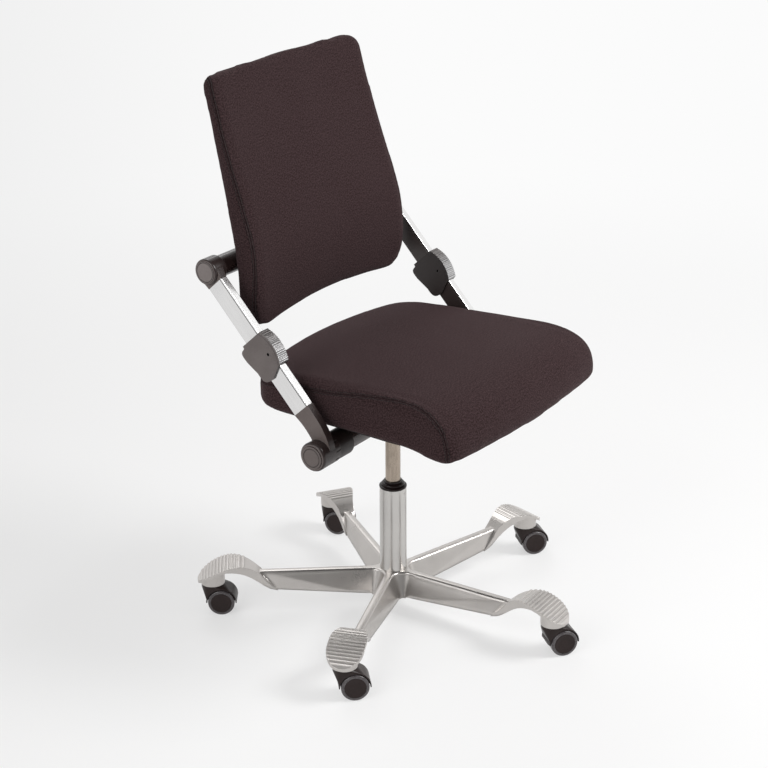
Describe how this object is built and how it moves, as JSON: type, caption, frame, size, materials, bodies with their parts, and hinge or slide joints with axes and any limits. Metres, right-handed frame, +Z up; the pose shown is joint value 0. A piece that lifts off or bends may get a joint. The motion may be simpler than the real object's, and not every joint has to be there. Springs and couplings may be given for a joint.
{
  "type": "swivel office chair",
  "caption": "Swivel office chair: upholstered seat and backrest on side struts, tilt beam, gas lift column and a star base with foot plates on twin-wheel castors.",
  "frame": {"origin": "the floor point under the gas column's axis", "axes": "+Z up, the sitter faces -Y, +X to the sitter's left"},
  "size_m": [0.7195, 0.6916, 1.033],
  "materials": {
    "base_paint": "fine satin silver paint",
    "column_paint": "satin silver paint",
    "castor_wheel": "moulded, glossy tread ring round a darker face",
    "castor_hood": "moulded, fine grain",
    "castor_steel": "turned",
    "collar": "glossy moulding",
    "lift_steel": "turned",
    "lift_tube": "ground and plated, warm tone",
    "under_plastic": "moulded, fine grain",
    "black_metal": "black powder coat",
    "sleeve": "moulded",
    "back_plastic": "moulded, fine grain",
    "slide_plastic": "low-friction moulding",
    "fixings": "plated",
    "strut": "satin anodised",
    "upholstery": "fine plain weave, dark charcoal brown",
    "block": "moulded, satin warm grey with a ribbed rim",
    "frame_plastic": "moulded, satin warm grey"
  },
  "bodies": {
    "base": {"star_base": "base_paint", "column_tube": "column_paint", "guide_collar": "collar", "thrust_bearing": "lift_steel", "retaining_clip": "lift_steel"},
    "lift_rod": {"lift_rod": "lift_steel"},
    "carrier": {"pressure_tube": "lift_tube", "tilt_housing": "under_plastic", "mechanism_cover": "under_plastic", "beam_bushes": "slide_plastic"},
    "tension_knob": {"tension_knob": "under_plastic"},
    "height_lever": {"height_lever": "fixings", "lever_paddle": "under_plastic"},
    "back_frame": {"tilt_beam": "black_metal", "right_lower_arm": "frame_plastic", "left_lower_arm": "frame_plastic", "right_hub_cap": "frame_plastic", "left_hub_cap": "frame_plastic", "right_sleeve": "sleeve", "left_sleeve": "sleeve", "right_strut": "strut", "left_strut": "strut", "right_block": "block", "left_block": "block", "right_upper_fitting": "frame_plastic", "left_upper_fitting": "frame_plastic", "right_end_cap": "frame_plastic", "left_end_cap": "frame_plastic", "cross_tube": "black_metal", "frame_screws": "fixings"},
    "seat_tilt": {"seat_plate": "black_metal"},
    "seat": {"seat_pan": "under_plastic", "slide_shoes": "slide_plastic", "seat_cushion": "upholstery", "seat_screws": "fixings"},
    "backrest": {"back_shell": "back_plastic", "back_cushion": "upholstery", "back_saddles": "back_plastic", "back_screws": "fixings"},
    "castor_1": {"castor_1_hood": "castor_hood", "castor_1_pins": "castor_steel"},
    "castor_1_left_wheel": {"castor_1_left_wheel": "castor_wheel"},
    "castor_1_right_wheel": {"castor_1_right_wheel": "castor_wheel"},
    "castor_2": {"castor_2_hood": "castor_hood", "castor_2_pins": "castor_steel"},
    "castor_2_left_wheel": {"castor_2_left_wheel": "castor_wheel"},
    "castor_2_right_wheel": {"castor_2_right_wheel": "castor_wheel"},
    "castor_3": {"castor_3_hood": "castor_hood", "castor_3_pins": "castor_steel"},
    "castor_3_left_wheel": {"castor_3_left_wheel": "castor_wheel"},
    "castor_3_right_wheel": {"castor_3_right_wheel": "castor_wheel"},
    "castor_4": {"castor_4_hood": "castor_hood", "castor_4_pins": "castor_steel"},
    "castor_4_left_wheel": {"castor_4_left_wheel": "castor_wheel"},
    "castor_4_right_wheel": {"castor_4_right_wheel": "castor_wheel"},
    "castor_5": {"castor_5_hood": "castor_hood", "castor_5_pins": "castor_steel"},
    "castor_5_left_wheel": {"castor_5_left_wheel": "castor_wheel"},
    "castor_5_right_wheel": {"castor_5_right_wheel": "castor_wheel"}
  },
  "joints": [
    {"name": "castor_1_swivel", "type": "hinge", "parent": "base", "child": "castor_1", "pos_m": [0.01183, -0.33879, 0.06], "axis": [0, 0, 1], "continuous": true},
    {"name": "castor_1_left_wheel_spin", "type": "hinge", "parent": "castor_1", "child": "castor_1_left_wheel", "pos_m": [0.02444, -0.34864, 0.025], "axis": [0.6157, 0.788, 0], "continuous": true},
    {"name": "castor_1_right_wheel_spin", "type": "hinge", "parent": "castor_1", "child": "castor_1_right_wheel", "pos_m": [0.02444, -0.34864, 0.025], "axis": [0.6157, 0.788, 0], "continuous": true},
    {"name": "castor_2_swivel", "type": "hinge", "parent": "base", "child": "castor_2", "pos_m": [0.32587, -0.09344, 0.06], "axis": [0, 0, 1], "continuous": true},
    {"name": "castor_2_left_wheel_spin", "type": "hinge", "parent": "castor_2", "child": "castor_2_left_wheel", "pos_m": [0.33812, -0.10373, 0.025], "axis": [0.6428, 0.766, 0], "continuous": true},
    {"name": "castor_2_right_wheel_spin", "type": "hinge", "parent": "castor_2", "child": "castor_2_right_wheel", "pos_m": [0.33812, -0.10373, 0.025], "axis": [0.6428, 0.766, 0], "continuous": true},
    {"name": "castor_3_swivel", "type": "hinge", "parent": "base", "child": "castor_3", "pos_m": [0.18957, 0.28104, 0.06], "axis": [0, 0, 1], "continuous": true},
    {"name": "castor_3_left_wheel_spin", "type": "hinge", "parent": "castor_3", "child": "castor_3_left_wheel", "pos_m": [0.19371, 0.26559, 0.025], "axis": [0.9659, 0.2588, 0], "continuous": true},
    {"name": "castor_3_right_wheel_spin", "type": "hinge", "parent": "castor_3", "child": "castor_3_right_wheel", "pos_m": [0.19371, 0.26559, 0.025], "axis": [0.9659, 0.2588, 0], "continuous": true},
    {"name": "castor_4_swivel", "type": "hinge", "parent": "base", "child": "castor_4", "pos_m": [-0.20871, 0.26714, 0.06], "axis": [0, 0, 1], "continuous": true},
    {"name": "castor_4_left_wheel_spin", "type": "hinge", "parent": "castor_4", "child": "castor_4_left_wheel", "pos_m": [-0.19976, 0.25387, 0.025], "axis": [0.829, 0.5592, 0], "continuous": true},
    {"name": "castor_4_right_wheel_spin", "type": "hinge", "parent": "castor_4", "child": "castor_4_right_wheel", "pos_m": [-0.19976, 0.25387, 0.025], "axis": [0.829, 0.5592, 0], "continuous": true},
    {"name": "castor_5_swivel", "type": "hinge", "parent": "base", "child": "castor_5", "pos_m": [-0.31856, -0.11595, 0.06], "axis": [0, 0, 1], "continuous": true},
    {"name": "castor_5_left_wheel_spin", "type": "hinge", "parent": "castor_5", "child": "castor_5_left_wheel", "pos_m": [-0.30785, -0.12784, 0.025], "axis": [0.7431, 0.6691, 0], "continuous": true},
    {"name": "castor_5_right_wheel_spin", "type": "hinge", "parent": "castor_5", "child": "castor_5_right_wheel", "pos_m": [-0.30785, -0.12784, 0.025], "axis": [0.7431, 0.6691, 0], "continuous": true},
    {"name": "seat_swivel", "type": "hinge", "parent": "base", "child": "lift_rod", "pos_m": [0, 0, 0.1], "axis": [0, 0, 1], "continuous": true},
    {"name": "seat_lift", "type": "slide", "parent": "lift_rod", "child": "carrier", "axis": [0, 0, 1], "range_m": [-0.1, 0.025]},
    {"name": "tension_turn", "type": "hinge", "parent": "carrier", "child": "tension_knob", "pos_m": [0, -0.063, 0.37], "axis": [0, 0, 1], "range_deg": [-720, 720]},
    {"name": "height_release", "type": "hinge", "parent": "carrier", "child": "height_lever", "pos_m": [0.045, 0.008, 0.405], "axis": [0, -1, 0], "range_deg": [0, 4], "stiffness_Nm_per_rad": 8, "springref_deg": -2.86},
    {"name": "back_recline", "type": "hinge", "parent": "carrier", "child": "back_frame", "pos_m": [0, -0.033, 0.421], "axis": [-1, 0, 0], "range_deg": [0, 16], "stiffness_Nm_per_rad": 90, "springref_deg": -20.05},
    {"name": "seat_follow", "type": "hinge", "parent": "carrier", "child": "seat_tilt", "pos_m": [0, -0.033, 0.421], "axis": [-1, 0, 0], "range_deg": [0, 8]},
    {"name": "seat_depth", "type": "slide", "parent": "seat_tilt", "child": "seat", "axis": [0, 1, 0], "range_m": [-0.03, 0.03]},
    {"name": "back_pivot", "type": "hinge", "parent": "back_frame", "child": "backrest", "pos_m": [0, 0.19718, 0.70373], "axis": [-1, 0, 0], "range_deg": [-8, 12]}
  ],
  "couplings": [
    {"joint": "seat_follow", "follows": "back_recline", "ratio": 0.5}
  ]
}
